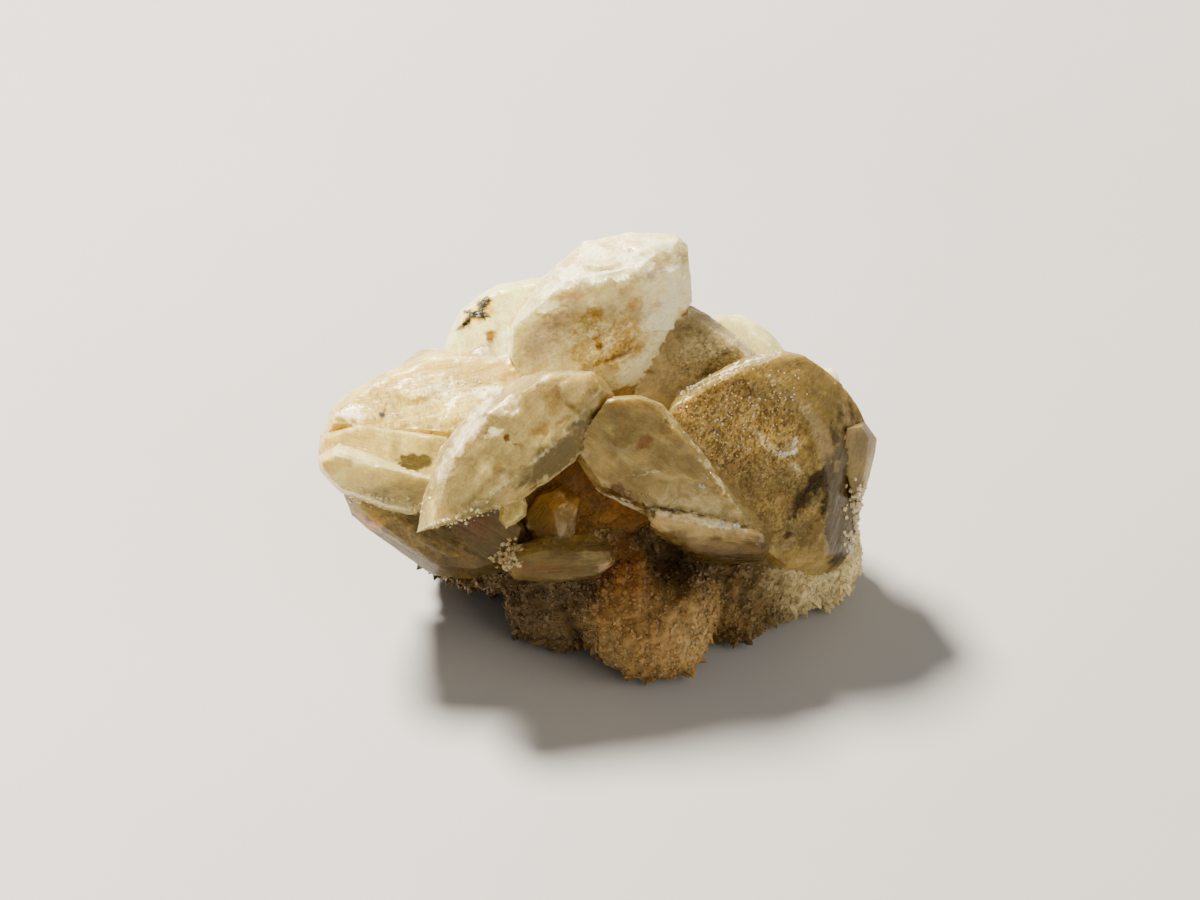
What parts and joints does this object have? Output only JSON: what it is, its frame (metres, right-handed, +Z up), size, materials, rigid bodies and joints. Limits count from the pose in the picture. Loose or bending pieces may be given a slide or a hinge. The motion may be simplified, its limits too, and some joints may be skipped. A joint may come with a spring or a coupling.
{
  "type": "richterite crystal specimen",
  "caption": "Small mineral specimen of intergrown honey-coloured bladed crystals on a sugary druse crust, cut flat underneath to stand on a shelf.",
  "frame": {"origin": "middle of the bounding box's underside, on the surface that the specimen stands on", "axes": "+Z up, +X to the right and along the specimen's longest side, -Y towards the front, the side with the leaf-shaped blade and the orange druse lump"},
  "size_m": [0.03, 0.0188, 0.0202],
  "materials": {
    "honey_crystal": "frosted to glossy crystal faces",
    "sugary_druse": "granular, sparkling"
  },
  "bodies": {
    "root": {"crystal_cluster": "honey_crystal", "druse_base": "sugary_druse"}
  },
  "joints": []
}
